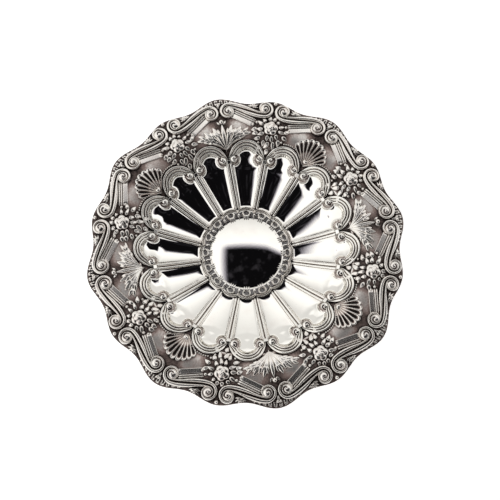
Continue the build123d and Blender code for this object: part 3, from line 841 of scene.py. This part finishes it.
# each frond is a long blade with pairs of lobes along its outer half; a bead and two curls stand at the tip
def makeLeaves():
    parts = [blade((0, leaf["root"]), math.pi / 2, leaf["middle"], 2.7, 2.9, swell=1.2, rows=22, groove=0.3),
             mound(0, leaf["bead"], 2.4, 3.0, rows=8, cols=24)]
    right = []
    for x0, y0, degrees, length, half, bend, pairs in leaf["fronds"]:
        angle = math.radians(degrees)
        right.append(blade((x0, y0), angle, length, half, 2.8, bend, swell=1.3, rows=24, groove=0.3,
                           blunt=0.6))
        path, heading = curve((x0, y0), angle, length, bend, np.linspace(0, 1, 51))
        for k in range(pairs):
            at = leaf["firstLobe"] + leaf["lobeGap"] * k
            for side in (-1, 1):
                turn = heading[at] + side * (leaf["lobeTurn"] - leaf["turnLoss"] * k)
                right.append(blade(path[at], turn, length * leaf["lobeLength"], half * leaf["lobeWidth"], 2.4,
                                   -side * 0.5, rows=12, groove=0.2, blunt=0.5))
    parts += spread(right, [0], mirror=True)
    parts += [blade((side * 1.6, leaf["curls"]), math.radians(90 - side * 50), 4.8, 1.3, 1.8, side * 0.5,
                    rows=9, cols=7) for side in (-1, 1)]
    placeEach("leaf", parts, largeLobeTurns[::2], chased, "acanthus")


makeLeaves()

rose = dict(centre=120.8, petals=5, petal=3.9, reach=3.6, petalHeight=2.5, petalStep=0.12, bud=4.4,
            budLift=1.5, heart=1.5, heartLift=3.4, sink=1.4)
# a spray's rings of leaves: (radius, count, first and last angle, leaf length, leaf width)
# and its beads on one side: (x, y, radius)
spray = dict(rings=((7.7, 12, 15, 345, 6.4, 2.6), (13.6, 9, -170, -10, 6.6, 2.8),
             (20.0, 3, -112, -68, 6.0, 2.6)),
             beads=((14.5, 124.5, 1.6), (17.8, 121.5, 1.4), (12.6, 108.8, 1.3), (9.4, 105.2, 1.2)),
             height=2.1, outerLength=0.66)


# a rose: broad outer petals, a swirled bud on them and a heart
def makeRoses():
    centre, parts = rose["centre"], []
    for k in range(rose["petals"]):
        a = 2 * math.pi * k / rose["petals"] + 0.3
        x0, y0 = rose["reach"] * math.cos(a), centre + rose["reach"] * math.sin(a)
        parts.append(mound(x0, y0, rose["petal"], rose["petalHeight"], rows=8, cols=20, dark=0.75,
                           lift=rose["petalStep"] * k, pit=(a + 2.6, 0.45, 1.0)))
    parts.append(mound(0, centre, rose["bud"], 2.6, rows=12, cols=60, petals=4, wave=0.2,
                       lift=rose["budLift"], sink=rose["sink"], twist=2.0, dark=0.8))
    parts.append(mound(0.3, centre + 0.3, rose["heart"], 1.2, rows=5, cols=12, lift=rose["heartLift"],
                       sink=rose["sink"], dark=0.7))
    placeEach("rose", parts, smallLobeTurns, chased, "rosette")


# leaves in rings round a rose, each of its own size, lean and bend, and shorter on the side of the edge
def makeSprays():
    parts = []
    for ring, count, low, high, length, width in spray["rings"]:
        for a in np.radians(np.linspace(low, high, count)):
            x0, y0 = ring * math.cos(a), rose["centre"] + ring * math.sin(a)
            short = (spray["outerLength"] if math.sin(a) > 0.3 else 1.0) * dice.uniform(0.85, 1.2)
            lean, bend = a + dice.uniform(-0.4, 0.4), dice.uniform(-0.9, 0.9)
            wide = width * dice.uniform(0.75, 1.0)
            parts.append(blade((x0, y0), lean, length * short, wide, spray["height"], bend, rows=11, cols=7))
    for side in (-1, 1):
        for x0, y0, radius in spray["beads"]:
            parts.append(mound(side * x0, y0, radius, 2.0, rows=5, cols=10))
    place("rose_leaves", spread(parts, smallLobeTurns), chased, ["rosette_leaves"])


makeRoses()
makeSprays()

# hearts, beads, two rows of leaf tips at each large lobe, and the leaves of a filler: (angle, length, bend)
trim = dict(heartIn=6.2, heartSide=1.3, heart=1.5, heartRoot=5.4, beadIn=2.6, bead=1.9, tipGap=0.95,
            tipIn=3.9, tipLean=16, innerIn=6.3, innerRise=0.9, fillerRoot=(33.2, 137.4),
            filler=((-28, 6.0, 0.5), (5, 6.5, 0.4), (35, 5.5, 0.3), (70, 4.0, 0.2), (150, 5.0, -0.2),
            (118, 4.0, 0.0)))


# one leaf tip, so many degrees from the lobe's middle and so far in from the edge, leaning to one side
def edgeTip(degrees, inwards, lean, length, width, height):
    a = math.radians(degrees)
    r = float(edgeRadius(a)) - inwards
    heading = math.radians(90 + lean) - a
    return blade((r * math.sin(a), r * math.cos(a)), heading, length, width, height, rows=6, cols=5)


# hearts between the inward coils, beads at the small lobes, and leaf tips along the edge
def makeEdgeTrim():
    top = float(edgeRadius(0.0))
    heart = [mound(side * trim["heartSide"], top - trim["heartIn"], trim["heart"], 2.0, rows=6, cols=14)
             for side in (-1, 1)]
    heart.append(blade((0, top - trim["heartRoot"]), -math.pi / 2, 6.0, 1.6, 2.0, rows=9, cols=7))
    place("hearts", spread(heart, largeLobeTurns), chased, ["rim_fleurons"])
    bead = [mound(0, float(edgeRadius(halfLobe)) - trim["beadIn"], trim["bead"], 2.4, rows=6, cols=16)]
    place("beads", spread(bead, smallLobeTurns), chased, ["rim_beads"])
    tips = [edgeTip(k * trim["tipGap"], trim["tipIn"], (-1) ** k * trim["tipLean"], 3.1, 0.85, 1.3)
            for k in range(-9, 10)]
    tips += [edgeTip(k * trim["tipGap"], trim["innerIn"] - trim["innerRise"] * abs(k) / 5, 0, 2.4, 0.7, 1.2)
             for k in range(-5, 6)]
    # a small spray in the hollow between the outward coil, the scroll's band and the edge
    filler = [blade(trim["fillerRoot"], math.radians(a), length, 1.1, 1.8, bend, rows=9, cols=7)
              for a, length, bend in trim["filler"]]
    tips += spread(filler, [0], mirror=True)
    place("edge_leaves", spread(tips, largeLobeTurns), chased)


makeEdgeTrim()

wire = dict(inwards=1.15, halfWidth=1.05, drop=1.9, halfHeight=0.85, cols=512, sides=10)


# the wire under the waved edge: an oval section carried along the outline
def makeEdgeWire():
    a = circle(wire["cols"])[:, None]
    t = circle(wire["sides"])[None, :]
    r = edgeRadius(a) - wire["inwards"] + wire["halfWidth"] * np.cos(t)
    z = dishHeight(edgeRadius(a)) - wire["drop"] + wire["halfHeight"] * np.sin(t)
    part = closedRing(r * np.cos(a), r * np.sin(a), z, 0.2 + 0 * z)
    place("rim_wire", [part], plain, ["edge_wire"])


makeEdgeWire()


# the foot, whose size is that of its CAD solid: its section is carried round the middle
# the section is (way in from the outer side, height)
def makeFoot():
    _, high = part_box("foot_ring")
    top, outer = high.z / mm, high.x / mm
    upper = [(4.6, top + 0.3), (3.0, top + 0.3), (2.7, top - 1.5)]
    lower = [(1.6, 2.4), (0.3, 1.1), (0, 0.5), (0.3, 0.0), (2.9, 0.0), (3.2, 0.6), (3.6, 2.2)]
    section = np.array(upper + lower + [(4.5, top - 1.6)])
    a = circle(160)[:, None]
    r, z = outer - section[None, :, 0], section[None, :, 1] + 0 * a
    part = closedRing(r * np.cos(a), r * np.sin(a), z, 0.15 + 0 * z)
    place("foot", [part], plain, ["foot_ring"])


makeFoot()

# the camera stands above the plate and leans towards its near side
# turn, side and lean are degrees, side being the way it leans to; the rest is in millimetres
camera = dict(turn=11.38, lean=12.84, side=-95.96, distance=814.8, aim=20.0, right=3.06, up=0.1, lens=61.1,
              sensor=36.0)


# the picture's right and up directions and the way back to the camera, once it leans from straight above
def cameraAxes():
    turn, side, lean = (math.radians(k) for k in (-camera["turn"], camera["side"], camera["lean"]))
    right, up = np.array([math.cos(turn), math.sin(turn), 0]), np.array([-math.sin(turn), math.cos(turn), 0])
    towards = math.cos(side) * right + math.sin(side) * up
    sideways = -math.sin(side) * right + math.cos(side) * up
    back = math.cos(lean) * np.array([0, 0, 1]) + math.sin(lean) * towards
    tipped = math.cos(lean) * towards - math.sin(lean) * np.array([0, 0, 1])
    right = math.cos(side) * tipped - math.sin(side) * sideways
    up = math.sin(side) * tipped + math.cos(side) * sideways
    return right, up, back


# a wide pale floor that glows a little, so that it stays white in the shade
def makeStage(half=8):
    ground = bpy.data.materials.new("pale floor")
    bench = Bench(ground)
    shader = bench.node("ShaderNodeBsdfPrincipled", None,
                        {"Base Color": (0.93, 0.93, 0.93, 1), "Roughness": 0.9,
                         "Emission Color": (1, 1, 1, 1), "Emission Strength": 0.55})
    bench.node("ShaderNodeOutputMaterial", None, {"Surface": shader})
    mesh = bpy.data.meshes.new("floor")
    corners = [(-half, -half, 0), (half, -half, 0), (half, half, 0), (-half, half, 0)]
    mesh.from_pydata(corners, [], [(0, 1, 2, 3)])
    mesh.materials.append(ground)
    floor = bpy.data.objects.new("floor", mesh)
    scene.collection.objects.link(floor)


# each pair is where a smooth step begins and ends, in units of the height overhead
room = dict(left=(-0.55, -0.32), far=(0.45, 0.27), right=(2.6, 1.8), near=(-2.8, -2.0), dipFrom=0.4, dip=0.22,
            glow=1.16, farFade=(0.3, 1.4), farLoss=0.4, leftFade=(-0.2, -2.0), leftLoss=0.1, screen=0.004,
            clutter=0.15, clutterFrom=0.55, low=(0.42, 0.05), side=0.32, sideLevel=0.8, sideLeast=0.2,
            flattest=0.02)


# a bright soft room with one dark screen overhead, to the near right, and low light from the far left
# right and far are where a direction meets a ceiling of height 1: (x cos - y sin) / z and (x sin + y cos) / z
def makeRoom():
    world = bpy.data.worlds.new("studio")
    scene.world = world
    bench = Bench(world)
    way = bench.node("ShaderNodeTexCoord")
    x, y, z = (bench.node("ShaderNodeSeparateXYZ", None, {0: way}, output=k) for k in range(3))
    c, s = math.cos(math.radians(camera["turn"])), math.sin(math.radians(camera["turn"]))
    up = z.math("MAXIMUM", room["flattest"])
    right = (x * c - y * s) / up
    far = (x * s + y * c) / up
    # the screen's far side falls away to the right
    dip = (right - room["dipFrom"]).math("MAXIMUM", 0.0) * room["dip"]
    screen = (right.step(*room["left"]) * (far + dip).step(*room["far"]) * right.step(*room["right"])
              * far.step(*room["near"]))
    glow = room["glow"] - far.step(*room["farFade"]) * room["farLoss"]
    glow = glow - right.step(*room["leftFade"]) * room["leftLoss"]
    # faint things in the dark part
    cloud = bench.noise(way, 6.0, 2.0)
    shapes = (cloud - room["clutterFrom"]).clamp() * room["clutter"] + room["screen"]
    overhead = glow * (1 - screen) + screen * shapes
    farLeft = (x * (s - c) + y * (c + s)) * room["side"]
    around = (farLeft + room["sideLevel"]).math("MAXIMUM", room["sideLeast"])
    low = z.step(*room["low"])
    light = overhead * (1 - low) + low * around
    colour = bench.mix(screen, (1.0, 0.995, 0.985, 1), (0.9, 0.85, 1.0, 1))
    sky = bench.node("ShaderNodeBackground", None, {"Color": colour, "Strength": light})
    bench.node("ShaderNodeOutputWorld", None, {"Surface": sky})


# the camera, at its distance from the point it aims at over the middle of the plate
def makeCamera():
    lens = bpy.data.cameras.new("camera")
    lens.sensor_width = camera["sensor"]
    lens.lens = camera["lens"]
    lens.clip_end = 100
    eye = bpy.data.objects.new("camera", lens)
    right, up, back = cameraAxes()
    spot = np.array([0, 0, camera["aim"]]) + camera["distance"] * back
    spot = spot + camera["right"] * right + camera["up"] * up
    turned = mathutils.Matrix(np.stack([right, up, back], 1).tolist()).to_4x4()
    eye.matrix_world = mathutils.Matrix.Translation((spot * mm).tolist()) @ turned
    scene.collection.objects.link(eye)
    scene.camera = eye


makeStage()
makeRoom()
makeCamera()
scene.view_settings.view_transform = "Standard"
